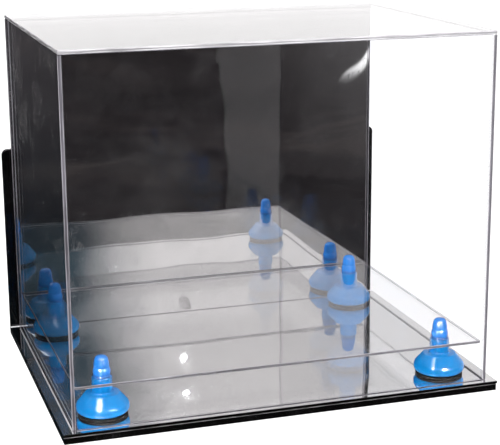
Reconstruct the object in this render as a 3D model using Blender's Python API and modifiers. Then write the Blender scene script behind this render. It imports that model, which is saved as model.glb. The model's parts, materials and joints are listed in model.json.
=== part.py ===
"""Wall-mounted display case for a full-size football helmet, as separate sheets, risers and mount.

The case stands on z = 0 with its front facing -Y. Lengths are in metres.
"""

import math

import bmesh
import bpy

# Hair gap left between neighbouring pieces
GAP = 0.0003

# Clear cover, outside sizes
COVER_W = 0.375
COVER_D = 0.285
COVER_H = 0.313
SHEET = 0.003

# Mirrored base sheet and the margins it shows around the cover
BASE_T = 0.0025
MARGIN_SIDE = 0.009
MARGIN_FRONT = 0.006
MARGIN_REAR = 0.006

# Black wall mount: a shelf under the base and a plate behind the cover
MOUNT_T = 0.006
MOUNT_INSET = 0.001
MOUNT_SHELF_INSET = 0.0005
MOUNT_H = 0.190
MOUNT_CORNER_R = 0.006
SCREW_HOLE_R = 0.0025
SCREW_SINK_R = 0.0050
SCREW_HOLE_X = 0.140
SCREW_HOLE_Z = (0.050, 0.155)

# Raised clear platform
PLATFORM_T = 0.0025
PLATFORM_TOP = 0.0364
PLATFORM_CLEARANCE = 0.001
PLATFORM_CORNER_R = 0.002
PLATFORM_HOLE_R = 0.0081

# Risers, measured up from the mirror
RISER_X = 0.1555
RISER_Y = 0.1120
RISER_STEPS = 28
PAD_R = 0.0213
PAD_T = 0.0021
RIM_R = 0.0228
NECK_R = 0.0088
SOCKET_R = 0.0033
STUD_R = 0.0030
SOCKET_FLOOR = 0.0230
STUD_END = 0.0236
TIP_TOP = 0.0526

# Levels and planes of the assembly
SHELF_TOP = MOUNT_T
BASE_BOTTOM = SHELF_TOP + GAP
BASE_TOP = BASE_BOTTOM + BASE_T
BASE_W = COVER_W + 2.0 * MARGIN_SIDE
DEPTH = MARGIN_FRONT + COVER_D + MARGIN_REAR + GAP + MOUNT_T
FRONT = -0.5 * DEPTH
COVER_Y0 = FRONT + MARGIN_FRONT
COVER_Y1 = COVER_Y0 + COVER_D
BASE_Y1 = COVER_Y1 + MARGIN_REAR
PLATE_Y0 = BASE_Y1 + GAP
COVER_MID_Y = 0.5 * (COVER_Y0 + COVER_Y1)
HALF_W = 0.5 * COVER_W
NECK_TOP = PLATFORM_TOP - PLATFORM_T - GAP

CLEAR = ("clear_acrylic", (0.93, 0.96, 0.97), 0.05, 0.0)
MIRROR = ("mirror_acrylic", (0.86, 0.87, 0.88), 0.03, 1.0)
BLACK = ("black_acrylic", (0.012, 0.012, 0.013), 0.12, 0.0)
BLUE = ("blue_plastic", (0.010, 0.270, 0.800), 0.22, 0.0)
RUBBER = ("black_rubber", (0.020, 0.020, 0.020), 0.75, 0.0)


def clear_scene():
    for obj in list(bpy.data.objects):
        bpy.data.objects.remove(obj, do_unlink=True)


def collection(name):
    group = bpy.data.collections.new(name)
    bpy.context.scene.collection.children.link(group)
    return group


def material(spec):
    name, colour, roughness, metallic = spec
    mat = bpy.data.materials.get(name)
    if mat is None:
        mat = bpy.data.materials.new(name)
        mat.use_nodes = True
        shader = mat.node_tree.nodes["Principled BSDF"]
        shader.inputs["Base Color"].default_value = (*colour, 1.0)
        shader.inputs["Roughness"].default_value = roughness
        shader.inputs["Metallic"].default_value = metallic
        mat.diffuse_color = (*colour, 1.0)
    return mat


def add_object(group, name, mesh, location, spec=None):
    obj = bpy.data.objects.new(name, mesh)
    obj.location = location
    group.objects.link(obj)
    if spec is not None:
        mesh.materials.append(material(spec))
    return obj


def add_edge_rounding(obj, width, segments):
    mod = obj.modifiers.new("edge_rounding", "BEVEL")
    mod.width = width
    mod.segments = segments
    mod.limit_method = "ANGLE"
    mod.angle_limit = math.radians(40.0)


def sheet(group, name, low, high, spec, corner_axis=None, corner_r=0.0, corners=None):
    """A flat sheet between two opposite corners, its outline corners rounded about one axis if asked."""
    size = [b - a for a, b in zip(low, high)]
    centre = [0.5 * (a + b) for a, b in zip(low, high)]
    bm = bmesh.new()
    bmesh.ops.create_cube(bm, size=1.0)
    bmesh.ops.scale(bm, vec=size, verts=bm.verts)
    if corner_axis is not None:
        chosen = []
        for edge in bm.edges:
            run = edge.verts[1].co - edge.verts[0].co
            middle = 0.5 * (edge.verts[0].co + edge.verts[1].co)
            if abs(run[corner_axis]) > 0.9 * size[corner_axis] and (corners is None or corners(middle)):
                chosen.append(edge)
        bmesh.ops.bevel(bm, geom=chosen, offset=corner_r, segments=6, profile=0.5, affect="EDGES")
    mesh = bpy.data.meshes.new(name)
    bm.to_mesh(mesh)
    bm.free()
    obj = add_object(group, name, mesh, centre, spec)
    add_edge_rounding(obj, 0.0004, 1)
    return obj


def cone_cutter(group, name, location, radius_low, radius_high, length, rotation=(0.0, 0.0, 0.0)):
    bm = bmesh.new()
    bmesh.ops.create_cone(
        bm, cap_ends=True, segments=RISER_STEPS, radius1=radius_low, radius2=radius_high, depth=length
    )
    mesh = bpy.data.meshes.new(name)
    bm.to_mesh(mesh)
    bm.free()
    obj = add_object(group, name, mesh, location)
    obj.rotation_euler = rotation
    obj.hide_render = True
    obj.display_type = "WIRE"
    return obj


def cut(obj, cutter):
    mod = obj.modifiers.new("cut_" + cutter.name, "BOOLEAN")
    mod.operation = "DIFFERENCE"
    mod.solver = "EXACT"
    mod.object = cutter


def turned(group, name, profile, location, spec):
    """A body turned about its own Z axis from (radius, height) points."""
    mesh = bpy.data.meshes.new(name)
    points = [(radius, 0.0, height) for radius, height in profile]
    mesh.from_pydata(points, [(i, i + 1) for i in range(len(points) - 1)], [])
    obj = add_object(group, name, mesh, location, spec)
    mod = obj.modifiers.new("turn", "SCREW")
    mod.axis = "Z"
    mod.steps = RISER_STEPS
    mod.render_steps = RISER_STEPS
    mod.use_merge_vertices = True
    mod.merge_threshold = 0.00001
    mod.use_smooth_shade = True
    mod.use_normal_calculate = True
    return obj


def arc(centre_r, centre_z, radius, start, end, steps):
    points = []
    for i in range(steps + 1):
        angle = math.radians(start + (end - start) * i / steps)
        points.append((centre_r + radius * math.cos(angle), centre_z + radius * math.sin(angle)))
    return points


def riser_profile():
    """Flared foot, rounded rim, soft shoulder and straight neck with a blind socket for the tip."""
    foot = PAD_T + 2.0 * GAP
    under_r = 0.0043
    over_r = 0.0075
    rim_z = foot + under_r
    slope = 41.0
    profile = [(0.0, SOCKET_FLOOR), (SOCKET_R, SOCKET_FLOOR), (SOCKET_R, NECK_TOP)]
    profile += arc(NECK_R - 0.0006, NECK_TOP - 0.0006, 0.0006, 90.0, 0.0, 2)
    profile += arc(NECK_R + 0.0020, 0.0220, 0.0020, 180.0, 262.0, 3)
    profile += arc(0.0141, 0.0187, 0.0013, 82.0, slope, 2)
    profile += arc(RIM_R - over_r, rim_z + 0.0008, over_r, slope, 0.0, 3)
    profile += arc(RIM_R - under_r, rim_z, under_r, 0.0, -90.0, 4)
    profile += [(0.0, foot)]
    return profile


def tip_radius(height):
    """Tapering body, fuller in the middle, with soft rings seven millimetres apart."""
    taper = 0.0075 - 0.0017 * max(0.0, (height - 0.0345) / 0.0135) ** 1.8
    ring = 0.00028 * math.cos(2.0 * math.pi * (height - 0.0418) / 0.0074)
    return taper + ring


def tip_profile():
    """Domed, ringed tip with a plain stud below that screws into the riser's socket."""
    start = NECK_TOP + GAP
    dome_z = 0.0484
    body = [start + 0.0004 + (dome_z - start - 0.0004) * i / 12 for i in range(13)]
    crown_r = tip_radius(dome_z)
    profile = []
    for i in range(6):
        angle = math.radians(90.0 - 18.0 * i)
        dome = (crown_r * math.cos(angle) ** 0.8, dome_z + (TIP_TOP - dome_z) * math.sin(angle))
        profile.append((0.0, TIP_TOP) if i == 0 else dome)
    profile += [(tip_radius(height), height) for height in reversed(body[:-1])]
    profile += [(tip_radius(start) - 0.0004, start)]
    profile += [(STUD_R, start), (STUD_R, STUD_END + 0.0006), (STUD_R - 0.0006, STUD_END), (0.0, STUD_END)]
    return profile


def pad_profile():
    top = GAP + PAD_T
    edge = 0.0002
    return [(0.0, top), (PAD_R - edge, top), (PAD_R, top - edge), (PAD_R, GAP + edge), (PAD_R - edge, GAP), (0.0, GAP)]


def build_wall_mount(parts, cutters):
    half = 0.5 * BASE_W - MOUNT_INSET
    sheet(
        parts,
        "wall_mount_shelf",
        (-half, FRONT + MOUNT_SHELF_INSET, 0.0),
        (half, BASE_Y1, MOUNT_T),
        BLACK,
    )
    plate = sheet(
        parts,
        "wall_mount_plate",
        (-half, PLATE_Y0, 0.0),
        (half, PLATE_Y0 + MOUNT_T, MOUNT_H),
        BLACK,
        corner_axis=1,
        corner_r=MOUNT_CORNER_R,
        corners=lambda middle: middle.z > 0.0,
    )
    middle_y = PLATE_Y0 + 0.5 * MOUNT_T
    sink = SCREW_SINK_R - SCREW_HOLE_R
    for i, (x, z) in enumerate((sx * SCREW_HOLE_X, z) for z in SCREW_HOLE_Z for sx in (-1.0, 1.0)):
        upright = (math.radians(90.0), 0.0, 0.0)
        bore = cone_cutter(
            cutters, "screw_bore_%d" % i, (x, middle_y, z), SCREW_HOLE_R, SCREW_HOLE_R, 2.0 * MOUNT_T, upright
        )
        mouth = cone_cutter(
            cutters,
            "screw_sink_%d" % i,
            (x, PLATE_Y0 + 0.5 * sink - 0.0005, z),
            SCREW_HOLE_R,
            SCREW_SINK_R + 0.0005,
            sink + 0.001,
            upright,
        )
        cut(plate, bore)
        cut(plate, mouth)


def build_base(parts):
    half = 0.5 * BASE_W
    sheet(
        parts,
        "base_mirror",
        (-half, FRONT, BASE_BOTTOM),
        (half, BASE_Y1, BASE_TOP),
        MIRROR,
        corner_axis=2,
        corner_r=0.001,
    )


def build_cover(parts):
    low = BASE_TOP + GAP
    high = BASE_TOP + COVER_H
    wall_top = high - SHEET - GAP
    back_y = COVER_Y1 - SHEET
    sheet(parts, "cover_top_panel", (-HALF_W, COVER_Y0, high - SHEET), (HALF_W, COVER_Y1, high), CLEAR)
    sheet(parts, "cover_left_panel", (-HALF_W, COVER_Y0, low), (SHEET - HALF_W, back_y - GAP, wall_top), CLEAR)
    sheet(parts, "cover_right_panel", (HALF_W - SHEET, COVER_Y0, low), (HALF_W, back_y - GAP, wall_top), CLEAR)
    sheet(
        parts,
        "cover_front_panel",
        (SHEET + GAP - HALF_W, COVER_Y0, low),
        (HALF_W - SHEET - GAP, COVER_Y0 + SHEET, wall_top),
        CLEAR,
    )
    sheet(parts, "cover_back_mirror", (-HALF_W, back_y, low), (HALF_W, COVER_Y1, wall_top), MIRROR)


def build_platform(parts, cutters):
    half_w = HALF_W - SHEET - PLATFORM_CLEARANCE
    half_d = 0.5 * COVER_D - SHEET - PLATFORM_CLEARANCE
    top = BASE_TOP + PLATFORM_TOP
    platform = sheet(
        parts,
        "platform",
        (-half_w, COVER_MID_Y - half_d, top - PLATFORM_T),
        (half_w, COVER_MID_Y + half_d, top),
        CLEAR,
        corner_axis=2,
        corner_r=PLATFORM_CORNER_R,
    )
    for place, x, y in riser_places():
        hole = cone_cutter(
            cutters,
            "platform_hole_" + place,
            (x, y, top - 0.5 * PLATFORM_T),
            PLATFORM_HOLE_R,
            PLATFORM_HOLE_R,
            3.0 * PLATFORM_T,
        )
        cut(platform, hole)


def riser_places():
    for depth, y in (("front", COVER_MID_Y - RISER_Y), ("rear", COVER_MID_Y + RISER_Y)):
        for side, x in (("left", -RISER_X), ("right", RISER_X)):
            yield depth + "_" + side, x, y


def build_risers(parts):
    for place, x, y in riser_places():
        spot = (x, y, BASE_TOP)
        turned(parts, "riser_pad_" + place, pad_profile(), spot, RUBBER)
        turned(parts, "riser_body_" + place, riser_profile(), spot, BLUE)
        turned(parts, "riser_tip_" + place, tip_profile(), spot, BLUE)


clear_scene()
PARTS = collection("football_display_case")
CUTTERS = collection("cutters")
build_wall_mount(PARTS, CUTTERS)
build_base(PARTS)
build_cover(PARTS)
build_platform(PARTS, CUTTERS)
build_risers(PARTS)
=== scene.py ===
"""Football display case: materials, visual risers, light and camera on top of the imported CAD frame."""

import json
import math

import bpy
from mathutils import Matrix, Vector

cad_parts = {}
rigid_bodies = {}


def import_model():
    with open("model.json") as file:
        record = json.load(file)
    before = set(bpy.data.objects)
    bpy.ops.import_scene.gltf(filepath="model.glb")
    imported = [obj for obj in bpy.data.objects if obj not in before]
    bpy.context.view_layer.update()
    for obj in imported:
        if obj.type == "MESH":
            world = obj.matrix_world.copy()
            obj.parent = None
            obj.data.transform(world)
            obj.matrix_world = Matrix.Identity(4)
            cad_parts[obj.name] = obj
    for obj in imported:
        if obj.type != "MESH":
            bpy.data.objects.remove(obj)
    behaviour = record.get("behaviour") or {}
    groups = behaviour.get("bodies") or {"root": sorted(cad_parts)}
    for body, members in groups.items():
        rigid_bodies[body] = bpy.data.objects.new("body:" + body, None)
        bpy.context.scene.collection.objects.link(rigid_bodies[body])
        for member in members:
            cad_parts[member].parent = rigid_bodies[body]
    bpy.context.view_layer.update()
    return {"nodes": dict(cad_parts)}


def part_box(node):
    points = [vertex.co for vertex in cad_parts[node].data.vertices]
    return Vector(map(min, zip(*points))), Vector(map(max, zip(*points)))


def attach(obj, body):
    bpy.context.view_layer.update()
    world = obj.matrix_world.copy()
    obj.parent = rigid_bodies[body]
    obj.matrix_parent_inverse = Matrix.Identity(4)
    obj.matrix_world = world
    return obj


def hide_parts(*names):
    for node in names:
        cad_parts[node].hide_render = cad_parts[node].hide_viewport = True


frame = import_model()
NODES = frame["nodes"]
PLACES = ("front_left", "front_right", "rear_left", "rear_right")

# Studio, in metres in the frame's axes: the case stands on z = 0 with its clear front facing -Y.
KEY_PLACE = (-0.89, -0.96, 1.03)
LAMPS = (("left", (-0.42, -0.58, 0.48), 0.014), ("right", (0.19, -0.66, 0.42), 0.013))
SPARK_HEIGHT = 0.26
WHITE_SEEN = 1.3
CAMERA_PLACE = (-0.3726, -1.2222, 0.4586)
CAMERA_AZIMUTH, CAMERA_PITCH, CAMERA_ROLL = 17.496, 14.198, -0.44
CAMERA_LENS = 101.69

# Surfaces
ACRYLIC_IOR = 1.49
FLAT_FACE = 0.97
# Emission colour of the painted glow along sawn sheet edges
PAINTED_GLOW_COLOUR = (0.95, 0.95, 1.0)

# Risers, in metres: radii from the axis and heights above the base mirror
FOOT_RADIUS = 0.0228
FOOT_HEIGHT = 0.0027
NECK_RADIUS = 0.0088
SOCKET_RADIUS = 0.0033
SOCKET_FLOOR = 0.0230
STUD_RADIUS = 0.0030
STUD_END = 0.0236
TIP_RADIUS = 0.0075
TIP_DOME = 0.0484
RING_PITCH = 0.0066
RING_GROOVE = 0.0422
GROOVE_DEPTH = 0.0006


# ---------------------------------------------------------------- node helpers
class Graph:
    """A small wrapper that adds and links shader nodes."""

    def __init__(self, tree):
        self.tree = tree
        tree.nodes.clear()

    def node(self, kind, inputs=None, **settings):
        n = self.tree.nodes.new(kind)
        for key, value in settings.items():
            setattr(n, key, value)
        for key, value in (inputs or {}).items():
            self.put(n.inputs[key], value)
        return n

    def put(self, socket, value):
        if isinstance(value, bpy.types.NodeSocket):
            self.tree.links.new(value, socket)
        elif isinstance(value, tuple) and len(value) == 3 and socket.type == "RGBA":
            socket.default_value = (*value, 1.0)
        else:
            socket.default_value = value

    def math(self, operation, a, b=0.0, c=None, clamp=False):
        inputs = {0: a, 1: b}
        if c is not None:
            inputs[2] = c
        return self.node("ShaderNodeMath", inputs, operation=operation, use_clamp=clamp).outputs[0]

    def parts(self, vector):
        """The x, y and z of a vector."""
        return self.node("ShaderNodeSeparateXYZ", {0: vector}).outputs

    def ramp(self, value, stops):
        """A straight-line colour ramp; each stop is a position with a colour or a grey."""
        n = self.node("ShaderNodeValToRGB", {"Fac": value})
        elements = n.color_ramp.elements
        while len(elements) < len(stops):
            elements.new(0.5)
        for element, (position, colour) in zip(elements, stops):
            element.position = position
            element.color = (*colour, 1.0) if isinstance(colour, tuple) else (colour, colour, colour, 1.0)
        return n.outputs["Color"]

    def spread(self, value, low, high, to_low=0.0, to_high=1.0):
        """Maps low..high to to_low..to_high, smoothly and clamped."""
        n = self.node(
            "ShaderNodeMapRange",
            {"Value": value, "From Min": low, "From Max": high, "To Min": to_low, "To Max": to_high},
            interpolation_type="SMOOTHSTEP",
        )
        return n.outputs["Result"]

    def noise(self, vector, scale, detail=3.0, roughness=0.5, distortion=0.0):
        inputs = {"Vector": vector, "Scale": scale, "Detail": detail, "Roughness": roughness}
        inputs["Distortion"] = distortion
        return self.node("ShaderNodeTexNoise", inputs).outputs["Fac"]

    def stretch(self, vector, scale=(1.0, 1.0, 1.0), rotation=(0.0, 0.0, 0.0)):
        n = self.node("ShaderNodeMapping", {"Vector": vector, "Scale": scale, "Rotation": rotation})
        return n.outputs["Vector"]

    def mix_shader(self, fac, a, b):
        n = self.node("ShaderNodeMixShader", {0: fac})
        self.tree.links.new(a, n.inputs[1])
        self.tree.links.new(b, n.inputs[2])
        return n.outputs[0]

    def mix_colour(self, fac, a, b):
        n = self.node("ShaderNodeMix", data_type="RGBA")
        self.put(n.inputs[0], fac)
        self.put(n.inputs[6], a)
        self.put(n.inputs[7], b)
        return n.outputs[2]

    def bump(self, height, distance, strength=1.0):
        n = self.node("ShaderNodeBump", {"Height": height, "Distance": distance, "Strength": strength})
        return n.outputs["Normal"]

    def out(self, surface, kind="ShaderNodeOutputMaterial"):
        n = self.node(kind)
        self.tree.links.new(surface, n.inputs["Surface"])


def new_material(name):
    mat = bpy.data.materials.new(name)
    mat.use_nodes = True
    return mat, Graph(mat.node_tree)


def dress(node, mat):
    """Gives a CAD node its material."""
    data = NODES[node].data
    data.materials.clear()
    data.materials.append(mat)


# ---------------------------------------------------------------- surface patterns
def scratches(g, place, density, width):
    """Short hairline scratches, as thin bands of several stretched noises. Returns 0..1."""
    total = None
    for i, angle in enumerate((0.35, 1.45, 2.5)):
        turned = g.stretch(place, rotation=(0.3 * i, angle, angle + 0.4 * i))
        lines = g.noise(g.stretch(turned, (density, density * 0.035, density)), 1.0, 1.0, 0.4, 0.15)
        thin = g.math("ABSOLUTE", g.math("SUBTRACT", lines, 0.5))
        mark = g.spread(thin, width, 0.0)
        gate = g.spread(g.noise(turned, 26.0 + 9.0 * i, 1.0), 0.58, 0.66)
        mark = g.math("MULTIPLY", mark, gate)
        total = mark if total is None else g.math("MAXIMUM", total, mark)
    return total


def dust(g, place, scale, amount):
    """Fine specks scattered over a surface. Returns 0..1."""
    n = g.node("ShaderNodeTexVoronoi", {"Vector": place, "Scale": scale, "Randomness": 1.0}, feature="F1")
    size = g.node("ShaderNodeSeparateColor", {0: n.outputs["Color"]})
    radius = g.spread(size.outputs[0], 1.0 - amount, 1.0, 0.0, 0.16)
    return g.spread(g.math("SUBTRACT", radius, n.outputs["Distance"]), 0.0, 0.05)


def smudges(g, place, scale=9.0):
    """Soft wiping marks and finger grease. Returns 0..1."""
    broad = g.noise(g.stretch(place, (1.0, 1.0, 0.45), (0.0, 0.4, 0.7)), scale, 4.0, 0.62, 0.8)
    fine = g.noise(place, scale * 9.0, 3.0, 0.55)
    return g.math("MULTIPLY", g.spread(broad, 0.46, 0.74), g.spread(fine, 0.3, 0.75, 0.45, 1.0))


def flat_mask(g, axis, sign=0.0):
    """1 on faces square to an axis (both sides, or one if a sign is given), 0 on edges and bevels."""
    part = normal_parts(g)[axis]
    if sign == 0.0:
        part = g.math("ABSOLUTE", part)
    elif sign < 0.0:
        part = g.math("MULTIPLY", part, -1.0)
    return g.math("GREATER_THAN", part, FLAT_FACE)


def object_place(g):
    return g.node("ShaderNodeTexCoord").outputs["Object"]


def normal_parts(g):
    return g.parts(g.node("ShaderNodeTexCoord").outputs["Normal"])


def rolling(g, wave, lines, sharpness, distance):
    """The normal of a sheet that rolls slightly, with hairlines cut in it."""
    return g.bump(g.math("ADD", wave, g.math("MULTIPLY", lines, sharpness)), distance)


def painted_edge_glow(g, colour, strength):
    """A painted glow, by emission, standing in for light gathered at a sawn edge of a clear sheet."""
    return g.node(
        "ShaderNodeBsdfPrincipled",
        {
            "Base Color": colour,
            "Roughness": 0.3,
            "Emission Color": PAINTED_GLOW_COLOUR,
            "Emission Strength": strength,
        },
    ).outputs[0]


# ---------------------------------------------------------------- clear acrylic
def thickness(g, node, axis):
    """0 at both faces of a sheet and 1 at its middle, measured across its thickness."""
    low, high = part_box(node)
    half = 0.5 * (high[axis] - low[axis])
    part = g.parts(object_place(g))[axis]
    off = g.math("ABSOLUTE", g.math("SUBTRACT", part, 0.5 * (high[axis] + low[axis])))
    return g.math("SUBTRACT", 1.0, g.math("DIVIDE", off, half))


def pane_shader(g, place, haze, gloss, glass):
    """Polished clear sheet: see-through with a Fresnel gloss on each face, hairlines, grease and dust."""
    grease = smudges(g, place)
    lines = scratches(g, place, 900.0, 0.010)
    specks = dust(g, place, 170.0, 0.03)
    backfacing = g.node("ShaderNodeNewGeometry").outputs["Backfacing"]
    ior = g.math("ADD", ACRYLIC_IOR, g.math("MULTIPLY", backfacing, 1.0 / ACRYLIC_IOR - ACRYLIC_IOR))
    wave = g.noise(place, 3.2, 2.0, 0.5)
    normal = rolling(g, wave, lines, 0.004, 0.0018)
    fresnel = g.node("ShaderNodeFresnel", {"IOR": ior, "Normal": normal}).outputs[0]
    rough = g.math("ADD", g.math("MULTIPLY", grease, 0.05), g.math("MULTIPLY", lines, 0.20))
    polish = g.node(
        "ShaderNodeBsdfPrincipled",
        {
            "Base Color": (1.0, 1.0, 1.0),
            "Metallic": 1.0,
            "Roughness": g.math("ADD", rough, 0.012),
            "Normal": normal,
        },
    )
    clear = g.node("ShaderNodeBsdfTransparent", {"Color": glass})
    film = g.node("ShaderNodeBsdfPrincipled", {"Base Color": (0.60, 0.58, 0.61), "Roughness": 0.55})
    pane = g.mix_shader(g.math("MULTIPLY", fresnel, gloss), clear.outputs[0], polish.outputs[0])
    dirt = g.math("ADD", g.math("MULTIPLY", lines, 0.04), g.math("MULTIPLY", specks, 0.10))
    dirt = g.math("ADD", dirt, g.math("MULTIPLY", grease, haze), clamp=True)
    return g.mix_shader(dirt, pane, film.outputs[0])


def near_axis(g, place, centres, radius):
    """1 within a radius of any of the vertical axes through the centres."""
    flat = g.node("ShaderNodeVectorMath", {0: place, 1: (1.0, 1.0, 0.0)}, operation="MULTIPLY").outputs[0]
    total = 0.0
    for centre in centres:
        there = (centre.x, centre.y, 0.0)
        gap = g.node("ShaderNodeVectorMath", {0: flat, 1: there}, operation="DISTANCE").outputs["Value"]
        total = g.math("ADD", total, g.math("LESS_THAN", gap, radius), clamp=True)
    return total


def edge_shader(g, place, depth, axis, tint, solid, far=0.25, bonded=(), holes=()):
    """Sawn and flame-polished sheet edge, streaky along its length: painted highlight lines along both
    arrises, and a core darkened by painted shade.

    depth is 0 at both faces of the sheet and 1 at its middle, and solid is how much of the light the
    edge stops. An edge is nearly clear where it is bonded to another sheet (bonded holds axis and sign
    pairs), in the wall of a hole, or seen from inside its own sheet (far is what is left of it there).
    """
    along = [0.03, 0.03, 0.03]
    along[axis] = 1.0
    streak = g.noise(g.stretch(place, tuple(along)), 1100.0, 2.0, 0.5)
    slow = g.noise(place, 14.0, 3.0, 0.6)
    arris = g.spread(depth, 0.30, 0.08)
    tone = g.math("MULTIPLY_ADD", streak, 0.6, g.math("MULTIPLY", slow, 0.4))
    dark = tuple(0.62 * c for c in tint)
    pale = tuple(min(1.0, 1.35 * c) for c in tint)
    colour = g.ramp(tone, ((0.36, dark), (0.50, tint), (0.66, pale)))
    # Painted shade: the middle of the edge's thickness is darkened.
    core = g.spread(depth, 0.45, 0.90)
    colour = g.mix_colour(g.math("MULTIPLY", core, 0.65), colour, tuple(0.25 * c for c in tint))
    # Painted highlight: both arrises are lightened toward a pale grey.
    colour = g.mix_colour(g.math("MULTIPLY", arris, 0.45), colour, (0.62, 0.60, 0.64))
    body = g.node(
        "ShaderNodeBsdfPrincipled",
        {
            "Base Color": colour,
            "Roughness": g.spread(streak, 0.3, 0.7, 0.12, 0.34),
            "Normal": g.bump(streak, 0.0001, 0.6),
        },
    )
    hidden = g.math("MULTIPLY", g.node("ShaderNodeNewGeometry").outputs["Backfacing"], 1.0 - far)
    hidden = g.math("MULTIPLY", hidden, g.math("SUBTRACT", 1.0, g.spread(depth, 0.62, 0.30)))
    parts = normal_parts(g)
    for way, sign in bonded:
        bond = g.math("GREATER_THAN", g.math("MULTIPLY", parts[way], sign), 0.5)
        hidden = g.math("MAXIMUM", hidden, g.math("MULTIPLY", bond, 0.9))
    if holes:
        hidden = g.math("MAXIMUM", hidden, g.math("MULTIPLY", near_axis(g, place, holes, 0.010), 0.85))
    # What shows through an open edge is darkened to a painted shade; a hidden edge lets it through nearly
    # clear.
    through = g.mix_colour(hidden, (0.15, 0.145, 0.16), (0.97, 0.965, 0.975))
    clear = g.node("ShaderNodeBsdfTransparent", {"Color": through})
    cover = g.spread(tone, 0.35, 0.65, solid - 0.10, solid + 0.10)
    cover = g.math("MULTIPLY_ADD", arris, 0.15, cover, clamp=True)
    cover = g.math("MULTIPLY", cover, g.math("SUBTRACT", 1.0, hidden))
    return g.mix_shader(cover, clear.outputs[0], body.outputs[0])


def acrylic_sheet(
    node, axis, solid=0.62, haze=0.004, tint=(0.19, 0.18, 0.205), far=0.20,
    bonded=(), holes=(), gloss=1.0, foot=0.0, glass=(0.990, 0.990, 0.994),
):
    """One clear sheet. With a foot, its lowest strip carries a painted glow, by emission, for the light
    gathered at its sawn bottom edge.
    """
    mat, g = new_material(node + "_clear")
    place = object_place(g)
    rim = edge_shader(g, place, thickness(g, node, axis), axis, tint, solid, far, bonded, holes)
    face = pane_shader(g, place, haze, gloss, glass)
    if foot:
        # Painted highlight: the lowest strip of the face glows, streaked along its length.
        strip = g.math("LESS_THAN", g.parts(place)[2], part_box(node)[0].z + foot)
        sawn = g.noise(g.stretch(place, (90.0, 90.0, 2500.0)), 1.0, 3.0, 0.6)
        light = painted_edge_glow(g, g.ramp(sawn, ((0.3, 0.45), (0.6, 0.90))), 0.35)
        face = g.mix_shader(g.math("MULTIPLY", strip, 0.8), face, light)
    g.out(g.mix_shader(flat_mask(g, axis), rim, face))
    return mat


# ---------------------------------------------------------------- mirror
def mirror_shader(g, place):
    """Acrylic mirror: a bright silvered face with a faint sheet waviness, wiping marks and dust."""
    grease = smudges(g, place, 7.0)
    lines = scratches(g, place, 800.0, 0.012)
    specks = dust(g, place, 160.0, 0.03)
    wave = g.noise(place, 5.0, 2.0, 0.5)
    normal = rolling(g, wave, lines, 0.004, 0.0012)
    silver = g.node(
        "ShaderNodeBsdfPrincipled",
        {
            "Base Color": g.mix_colour(g.spread(wave, 0.3, 0.7), (0.83, 0.83, 0.83), (0.87, 0.87, 0.87)),
            "Metallic": 1.0,
            "Roughness": g.math("ADD", g.math("MULTIPLY", grease, 0.06), 0.010),
            "Normal": normal,
        },
    )
    film = g.node("ShaderNodeBsdfPrincipled", {"Base Color": (0.50, 0.47, 0.48), "Roughness": 0.5})
    dirt = g.math("ADD", g.math("MULTIPLY", grease, 0.014), g.math("MULTIPLY", lines, 0.07))
    dirt = g.math("ADD", dirt, g.math("MULTIPLY", specks, 0.15), clamp=True)
    return g.mix_shader(dirt, silver.outputs[0], film.outputs[0])


def black_shader(g, place, arris=None):
    """Glossy black acrylic with hairlines, lint and wiping marks, and arrises painted lighter as a patchy
    painted highlight if a mask is given.
    """
    grease = smudges(g, place, 8.0)
    lines = scratches(g, place, 800.0, 0.014)
    specks = dust(g, place, 170.0, 0.05)
    marks = g.math("ADD", g.math("MULTIPLY", lines, 0.35), g.math("MULTIPLY", specks, 0.6), clamp=True)
    colour = g.mix_colour(marks, (0.0012, 0.0011, 0.0012), (0.05, 0.05, 0.053))
    if arris is not None:
        # Painted highlight: the masked arrises are lightened to grey, patchy along their length.
        highlight_patches = g.spread(g.noise(place, 60.0, 3.0, 0.6), 0.30, 0.62, 0.25, 0.9)
        colour = g.mix_colour(g.math("MULTIPLY", arris, highlight_patches), colour, (0.24, 0.235, 0.24))
    rough = g.math("ADD", g.math("MULTIPLY", grease, 0.16), g.math("MULTIPLY", marks, 0.3))
    body = g.node(
        "ShaderNodeBsdfPrincipled",
        {
            "Base Color": colour,
            "Roughness": g.math("ADD", rough, 0.055),
            "Normal": rolling(g, g.noise(place, 6.0, 2.0), lines, 0.01, 0.0010),
        },
    )
    return body.outputs[0]


def backing_shader(g, place):
    """Grey protective paint on the mirror's back, rolled on with a slight orange peel."""
    peel = g.noise(place, 420.0, 3.0, 0.6)
    broad = g.noise(place, 14.0, 4.0, 0.6)
    body = g.node(
        "ShaderNodeBsdfPrincipled",
        {
            "Base Color": g.mix_colour(broad, (0.115, 0.12, 0.13), (0.165, 0.17, 0.18)),
            "Roughness": g.spread(broad, 0.2, 0.8, 0.38, 0.6),
            "Normal": g.bump(peel, 0.00012),
        },
    )
    return body.outputs[0]


def base_mirror_material():
    """Mirror on top, with a painted glow strip along its rear edge standing in for a highlight there, and
    black paint on the other faces.
    """
    mat, g = new_material("base_mirror_sheet")
    place = object_place(g)
    # Painted highlight: a glowing strip, by emission, along the mirror's rear edge.
    painted_glow_width = 0.0040
    rear = g.math("GREATER_THAN", g.parts(place)[1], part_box("base_mirror")[1].y - painted_glow_width)
    sawn = g.noise(g.stretch(place, (70.0, 1200.0, 70.0)), 1.0, 3.0, 0.6)
    light = painted_edge_glow(g, g.ramp(sawn, ((0.3, 0.5), (0.6, 0.9))), 0.6)
    face = g.mix_shader(rear, mirror_shader(g, place), light)
    g.out(g.mix_shader(flat_mask(g, 2, 1.0), black_shader(g, place), face))
    return mat


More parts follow.
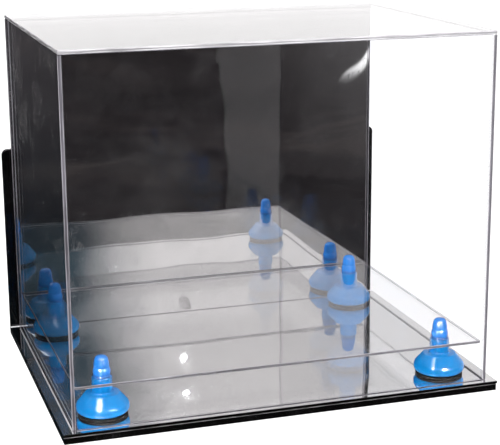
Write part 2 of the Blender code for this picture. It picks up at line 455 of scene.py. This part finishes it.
def back_mirror_material():
    """Mirror in front, grey paint behind, and a clear edge with painted highlight lines and painted shade."""
    mat, g = new_material("back_mirror_sheet")
    place = object_place(g)
    rim = edge_shader(g, place, thickness(g, "cover_back_mirror", 1), 1, (0.16, 0.15, 0.17), 0.72)
    behind = g.mix_shader(flat_mask(g, 1, 1.0), rim, backing_shader(g, place))
    g.out(g.mix_shader(flat_mask(g, 1, -1.0), behind, mirror_shader(g, place)))
    return mat


def black_material(name, painted_highlight_bevels):
    """Black sheet; with painted_highlight_bevels its upper bevels carry a patchy painted highlight."""
    mat, g = new_material(name)
    arris = None
    if painted_highlight_bevels:
        z = normal_parts(g)[2]
        arris = g.math("MULTIPLY", g.math("GREATER_THAN", z, 0.4), g.math("LESS_THAN", z, FLAT_FACE))
    g.out(black_shader(g, object_place(g), arris))
    return mat


# ---------------------------------------------------------------- blue plastic and rubber
def blue_material(name, ribbed):
    """Glossy moulded blue plastic; the tips carry fine crossed grooves, with painted shade at their bottoms.
    """
    mat, g = new_material(name)
    place = object_place(g)
    flow = g.noise(g.stretch(place, (1.0, 1.0, 0.35)), 120.0, 3.0, 0.55)
    peel = g.noise(place, 900.0, 2.0, 0.5)
    scuff = scratches(g, place, 1500.0, 0.02)
    if ribbed:
        colour = g.mix_colour(flow, (0.008, 0.135, 0.450), (0.020, 0.205, 0.620))
    else:
        colour = g.mix_colour(flow, (0.001, 0.160, 0.430), (0.003, 0.205, 0.545))
    colour = g.mix_colour(g.math("MULTIPLY", scuff, 0.25), colour, (0.20, 0.42, 0.72))
    height = g.math("MULTIPLY", peel, 0.12)
    gloss = (0.12, 0.16) if ribbed else (0.06, 0.10)
    if ribbed:
        x, y, z = g.parts(place)
        angle = g.math("ARCTAN2", y, x)
        groove_pitch = 0.0062
        starts = 9.0
        for hand in (1.0, -1.0):
            around = g.math("MULTIPLY", angle, starts)
            phase = g.math("MULTIPLY_ADD", z, 2.0 * math.pi / groove_pitch * hand, around)
            wave = g.math("ABSOLUTE", g.math("SINE", phase))
            height = g.math("MULTIPLY_ADD", wave, 0.5, height)
            # Painted shade: the groove bottoms are darkened toward deep blue.
            colour = g.mix_colour(g.spread(wave, 0.50, 0.05, 0.0, 0.5), colour, (0.003, 0.060, 0.300))
    body = g.node(
        "ShaderNodeBsdfPrincipled",
        {
            "Base Color": colour,
            "Roughness": g.math("ADD", g.spread(flow, 0.25, 0.75, *gloss), g.math("MULTIPLY", scuff, 0.2)),
            "Specular IOR Level": 0.5,
            "Normal": g.bump(height, 0.00008 if ribbed else 0.00005),
        },
    )
    g.out(body.outputs[0])
    return mat


def rubber_material():
    """Dull black rubber with a fine grain."""
    mat, g = new_material("black_rubber_pad")
    place = object_place(g)
    grain = g.noise(place, 1500.0, 3.0, 0.6)
    body = g.node(
        "ShaderNodeBsdfPrincipled",
        {
            "Base Color": g.mix_colour(grain, (0.0015, 0.0015, 0.0015), (0.006, 0.0055, 0.005)),
            "Roughness": g.spread(grain, 0.3, 0.7, 0.5, 0.8),
            "Specular IOR Level": 0.03,
            "Normal": g.bump(grain, 0.00015),
        },
    )
    g.out(body.outputs[0])
    return mat


# ---------------------------------------------------------------- visual risers
def arc(centre_r, centre_z, radius, start, end, steps):
    """Points on an arc of a profile, between two angles in degrees."""
    turn = [math.radians(start + (end - start) * i / steps) for i in range(steps + 1)]
    return [(centre_r + radius * math.cos(a), centre_z + radius * math.sin(a)) for a in turn]


def turned_piece(name, profile, centre, mat, steps=96):
    """A smooth turned body about the vertical axis through centre, from (radius, height) points."""
    verts = []
    faces = []
    rings = []
    for radius, height in profile:
        if radius < 1e-6:
            rings.append([len(verts)])
            verts.append((0.0, 0.0, height))
            continue
        ring = []
        for i in range(steps):
            a = 2.0 * math.pi * i / steps
            ring.append(len(verts))
            verts.append((radius * math.cos(a), radius * math.sin(a), height))
        rings.append(ring)
    for upper, lower in zip(rings, rings[1:]):
        for i in range(steps):
            j = (i + 1) % steps
            face = [upper[i % len(upper)], lower[i % len(lower)], lower[j % len(lower)], upper[j % len(upper)]]
            faces.append([v for k, v in enumerate(face) if v not in face[:k]])
    mesh = bpy.data.meshes.new(name)
    mesh.from_pydata(verts, [], faces)
    mesh.shade_smooth()
    mesh.set_sharp_from_angle(angle=math.radians(42.0))
    obj = bpy.data.objects.new(name, mesh)
    obj.location = centre
    mesh.materials.append(mat)
    bpy.context.scene.collection.objects.link(obj)
    return obj


def riser_body_profile(height):
    """From the socket's floor up its wall, over the neck, and down the flared foot to its underside."""
    under = 0.0043
    over = 0.0075
    lip = 0.0006
    throat = 0.0020
    slope = 41.0
    chamfer = 0.0003
    profile = [
        (0.0, SOCKET_FLOOR),
        (SOCKET_RADIUS, SOCKET_FLOOR),
        (SOCKET_RADIUS, height - chamfer),
        (SOCKET_RADIUS + chamfer, height),
    ]
    profile += arc(NECK_RADIUS - lip, height - lip, lip, 90.0, 0.0, 6)
    profile += arc(NECK_RADIUS + throat, 0.0220, throat, 180.0, 262.0, 12)
    profile += arc(0.0141, 0.0187, 0.0013, 82.0, slope, 10)
    profile += arc(FOOT_RADIUS - over, FOOT_HEIGHT + under + 0.0008, over, slope, 0.0, 16)
    profile += arc(FOOT_RADIUS - under, FOOT_HEIGHT + under, under, 0.0, -90.0, 18)
    profile += [(0.0, FOOT_HEIGHT)]
    return profile


def tip_radius(height):
    """Tapering radius with grooves between rounded rings; the top ring runs on into the dome."""
    taper = TIP_RADIUS - 0.0017 * max(0.0, (height - 0.0345) / 0.0135) ** 1.8
    turn = (height - RING_GROOVE) / RING_PITCH
    groove = 0.0 if turn > 0.5 else (2.0 * (turn % 1.0) - 1.0) ** 2
    return taper - GROOVE_DEPTH * groove + 0.0002


def riser_tip_profile(start, top):
    """From the dome down the ringed side to the underside at start, and down the stud below it."""
    dome_steps = 14
    side_steps = 100
    bevel = 0.0004
    crown = tip_radius(TIP_DOME)
    profile = [(0.0, top)]
    for i in range(1, dome_steps + 1):
        a = math.radians(90.0 - 90.0 * i / dome_steps)
        profile.append((crown * math.cos(a) ** 0.8, TIP_DOME + (top - TIP_DOME) * math.sin(a)))
    low = start + bevel
    for i in range(1, side_steps + 1):
        z = TIP_DOME + (low - TIP_DOME) * i / side_steps
        profile.append((tip_radius(z), z))
    profile += [
        (tip_radius(start) - bevel, start),
        (STUD_RADIUS, start),
        (STUD_RADIUS, STUD_END + 0.0006),
        (STUD_RADIUS - 0.0006, STUD_END),
        (0.0, STUD_END),
    ]
    return profile


def middle(node):
    """The middle of a CAD node's box."""
    low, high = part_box(node)
    return 0.5 * (low + high)


def build_risers():
    body_blue = blue_material("blue_plastic_body", False)
    tip_blue = blue_material("blue_plastic_tip", True)
    pad = rubber_material()
    mirror_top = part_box("base_mirror")[1].z
    for spot in PLACES:
        dress("riser_pad_" + spot, pad)
        neck_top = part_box("riser_body_" + spot)[1].z
        centre = middle("riser_body_" + spot)
        centre.z = mirror_top
        body = turned_piece("riser_" + spot, riser_body_profile(neck_top - mirror_top), centre, body_blue)
        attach(body, "base")
        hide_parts("riser_body_" + spot)
        tip_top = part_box("riser_tip_" + spot)[1].z
        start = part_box("platform")[0].z - mirror_top
        tip = turned_piece("tip_" + spot, riser_tip_profile(start, tip_top - mirror_top), centre, tip_blue)
        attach(tip, "tip_" + spot)
        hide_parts("riser_tip_" + spot)


# ---------------------------------------------------------------- stage, light, camera
def build_floor():
    """A pale paper sweep that the camera sees as plain white, and that no mirror shows."""
    mesh = bpy.data.meshes.new("studio_floor")
    points = []
    half_width = 6.0
    bend_start = 1.6
    bend = 0.9
    bend_steps = 12
    drop = 0.0002
    profile = [(-half_width, 0.0), (bend_start, 0.0)]
    for i in range(1, bend_steps + 1):
        a = math.radians(90.0 / bend_steps * i)
        profile.append((bend_start + bend * math.sin(a), bend - bend * math.cos(a)))
    profile += [(bend_start + bend, 4.0)]
    for y, z in profile:
        points.append((-half_width, y, z - drop))
        points.append((half_width, y, z - drop))
    faces = [(2 * i, 2 * i + 1, 2 * i + 3, 2 * i + 2) for i in range(len(profile) - 1)]
    mesh.from_pydata(points, [], faces)
    mesh.shade_smooth()
    mat, g = new_material("pale_paper")
    place = object_place(g)
    paper = g.noise(place, 300.0, 3.0, 0.6)
    body = g.node(
        "ShaderNodeBsdfPrincipled",
        {
            "Base Color": g.mix_colour(paper, (0.86, 0.86, 0.86), (0.90, 0.90, 0.90)),
            "Roughness": 0.7,
            "Specular IOR Level": 0.2,
        },
    )
    white = g.node("ShaderNodeEmission", {"Color": (1.0, 1.0, 1.0), "Strength": WHITE_SEEN})
    camera_ray = g.node("ShaderNodeLightPath").outputs["Is Camera Ray"]
    g.out(g.mix_shader(camera_ray, body.outputs[0], white.outputs[0]))
    mesh.materials.append(mat)
    floor = bpy.data.objects.new("studio_floor", mesh)
    bpy.context.scene.collection.objects.link(floor)
    floor.visible_glossy = False


def area_light(
    name, location, target, size, energy, diffuse=True, glossy=True, shape="RECTANGLE", spread=180.0
):
    """An area light aimed at a target; it can be left out of diffuse or of glossy light."""
    data = bpy.data.lights.new(name, "AREA")
    data.shape = shape
    data.size, data.size_y = size
    data.energy = energy
    data.spread = math.radians(spread)
    obj = bpy.data.objects.new(name, data)
    obj.location = location
    obj.rotation_euler = (Vector(target) - Vector(location)).to_track_quat("-Z", "Y").to_euler()
    obj.visible_diffuse = diffuse
    obj.visible_glossy = glossy
    bpy.context.scene.collection.objects.link(obj)
    return obj


def build_flag():
    """A black card, seen only by shadow rays, that keeps the key light off the rear left riser."""
    mesh = bpy.data.meshes.new("studio_flag")
    half = 0.07
    corners = [(-half, -half, 0.0), (half, -half, 0.0), (half, half, 0.0), (-half, half, 0.0)]
    mesh.from_pydata(corners, [], [(0, 1, 2, 3)])
    mat, g = new_material("black_card")
    g.out(g.node("ShaderNodeBsdfDiffuse", {"Color": (0.0, 0.0, 0.0)}).outputs[0])
    mesh.materials.append(mat)
    flag = bpy.data.objects.new("studio_flag", mesh)
    riser = middle("riser_body_rear_left")
    to_key = Vector(KEY_PLACE) - riser
    reach = 0.12
    flag.location = riser + reach * to_key.normalized()
    flag.rotation_euler = to_key.to_track_quat("Z", "Y").to_euler()
    for way in ("camera", "diffuse", "glossy", "transmission"):
        setattr(flag, "visible_" + way, False)
    bpy.context.scene.collection.objects.link(flag)


def build_world():
    """What the mirrors and the gloss reflect, by direction; the camera itself sees plain white."""
    world = bpy.data.worlds.new("studio")
    bpy.context.scene.world = world
    world.use_nodes = True
    g = Graph(world.node_tree)
    way = g.node("ShaderNodeTexCoord").outputs["Generated"]
    x, y, z = g.parts(way)

    # Behind: bright, a little brighter low down, and dark low at the left.
    rear = g.math("MULTIPLY", g.spread(z, 0.15, 0.22, 1.22, 0.93), g.spread(z, 0.20, 0.40, 1.0, 0.88))
    backdrop = g.node("ShaderNodeVectorMath", {0: (1.0, 0.985, 0.985), "Scale": rear}, operation="SCALE")
    left = g.math("MULTIPLY", g.spread(x, -0.02, -0.10), g.spread(z, 0.75, 0.50))
    dusk = g.mix_colour(g.spread(z, -0.26, -0.09), (0.004, 0.007, 0.010), (0.060, 0.055, 0.060))
    rear = g.mix_colour(left, backdrop.outputs[0], dusk)

    # In front: faint level bands in the dark, with a light patch high at the right and light above.
    bands = g.noise(g.stretch(way, (4.0, 4.0, 60.0)), 1.0, 4.0, 0.6)
    shades = (0.30, (0.010, 0.009, 0.010)), (0.55, (0.022, 0.019, 0.020)), (0.75, (0.050, 0.042, 0.040))
    gloom = g.ramp(bands, shades)
    side = g.mix_colour(g.spread(z, 0.05, 0.30), gloom, (0.050, 0.078, 0.098))
    lift = g.math("MULTIPLY", g.spread(z, 0.02, 0.24), g.spread(x, 0.165, 0.225))
    front = g.mix_colour(lift, side, (0.90, 0.87, 0.86))
    front = g.mix_colour(g.spread(z, 0.50, 0.75), front, (0.85, 0.84, 0.84))

    # A short, bent light strip, as the back mirror shows at its upper right.
    bend = g.math("MULTIPLY_ADD", g.math("ADD", z, 0.13), 0.62, 0.372)
    bend = g.math("MULTIPLY_ADD", g.math("POWER", g.math("ADD", z, 0.17), 2.0), 2.5, bend)
    strip = g.math("ABSOLUTE", g.math("SUBTRACT", x, bend))
    strip = g.math("MULTIPLY", g.spread(strip, 0.0036, 0.0011), g.spread(z, -0.152, -0.138))
    strip = g.math("MULTIPLY", strip, g.spread(z, -0.112, -0.120))
    glow = g.math("MULTIPLY", g.spread(x, 0.30, 0.40), g.spread(z, -0.24, -0.10, 0.0, 0.12))
    front = g.mix_colour(glow, front, (0.9, 0.88, 0.9))
    front = g.mix_colour(strip, front, (1.6, 1.6, 1.6))

    studio = g.mix_colour(g.spread(y, -0.25, 0.0), front, rear)
    reflected = g.node("ShaderNodeBackground", {"Color": studio, "Strength": 1.0})
    seen = g.node("ShaderNodeBackground", {"Color": (1.0, 1.0, 1.0), "Strength": WHITE_SEEN})
    camera_ray = g.node("ShaderNodeLightPath").outputs["Is Camera Ray"]
    g.out(g.mix_shader(camera_ray, reflected.outputs[0], seen.outputs[0]), "ShaderNodeOutputWorld")


def build_lights():
    """Two softboxes, the long highlight on the front left foot, two lamps, and sparks for the tips."""
    case = (0.0, 0.0, 0.05)
    left_foot = (-0.156, -0.115, 0.020)
    area_light("key_softbox", KEY_PLACE, (-0.15, -0.11, 0.03), (0.60, 1.10), 14.0, glossy=False)
    shine_place = (-0.338, -0.375, 0.530)
    area_light("flange_shine", shine_place, left_foot, (0.25, 0.54), 1.3, diffuse=False, spread=60.0)
    area_light("fill_softbox", (1.3, -1.2, 1.5), case, (1.0, 0.8), 12.0, glossy=False)
    for name, place, size in LAMPS:
        disk = (size, size)
        area_light("lamp_" + name, place, case, disk, 2.2, shape="DISK")
        low_place = (place[0], place[1], SPARK_HEIGHT)
        for spot in PLACES[:2]:
            tip = middle("riser_tip_" + spot)
            spark = "spark_%s_%s" % (name, spot)
            area_light(spark, low_place, tip, disk, 0.6, diffuse=False, shape="DISK", spread=16.0)
    for obj in bpy.context.scene.objects:
        if obj.type == "LIGHT":
            obj.visible_camera = False


def build_camera():
    """The camera fitted to the photograph: front left of the case, looking slightly down."""
    azimuth = math.radians(CAMERA_AZIMUTH)
    pitch = math.radians(CAMERA_PITCH)
    roll = math.radians(CAMERA_ROLL)
    level = math.cos(pitch)
    forward = Vector((math.sin(azimuth) * level, math.cos(azimuth) * level, -math.sin(pitch)))
    right = Vector((math.cos(azimuth), -math.sin(azimuth), 0.0))
    up = right.cross(forward)
    side = math.cos(roll) * right + math.sin(roll) * up
    top = -math.sin(roll) * right + math.cos(roll) * up
    data = bpy.data.cameras.new("camera")
    data.sensor_width = 36.0
    data.lens = CAMERA_LENS
    data.clip_end = 50.0
    cam = bpy.data.objects.new("camera", data)
    place = Matrix((side, top, -forward)).transposed().to_4x4()
    place.translation = Vector(CAMERA_PLACE)
    cam.matrix_world = place
    bpy.context.scene.collection.objects.link(cam)
    bpy.context.scene.camera = cam


# ---------------------------------------------------------------- assembly
def finish_sheets():
    """Materials of the flat CAD nodes. The cover's sheets are bonded along their shared edges."""
    # Each sheet's edge tint stands for how bright its edges look, painted light and shade: the top panel's
    # edges are painted lightest.
    dress("cover_top_panel", acrylic_sheet("cover_top_panel", 2, solid=0.66, tint=(0.54, 0.53, 0.55)))
    sides = (1, 1.0), (2, 1.0)
    cool = (0.972, 0.985, 0.988)
    # The left panel's lowest strip carries a painted glow.
    left = acrylic_sheet("cover_left_panel", 0, bonded=sides, gloss=0.8, foot=0.0011, glass=cool)
    dress("cover_left_panel", left)
    dress("cover_right_panel", acrylic_sheet("cover_right_panel", 0, bonded=sides, gloss=0.25))
    ends = ((0, 1.0), (0, -1.0), (2, 1.0))
    dress("cover_front_panel", acrylic_sheet("cover_front_panel", 1, bonded=ends, gloss=0.6))
    holes = [middle("riser_tip_" + spot) for spot in PLACES]
    platform = acrylic_sheet("platform", 2, solid=0.55, haze=0.007, tint=(0.30, 0.29, 0.31), holes=holes)
    dress("platform", platform)
    dress("base_mirror", base_mirror_material())
    dress("cover_back_mirror", back_mirror_material())
    # The shelf's upper bevels carry a painted highlight.
    dress("wall_mount_shelf", black_material("black_shelf_sheet", True))
    dress("wall_mount_plate", black_material("black_wall_sheet", False))


finish_sheets()
build_risers()
build_floor()
build_flag()
build_world()
build_lights()
build_camera()
bpy.context.scene.view_settings.view_transform = "Standard"
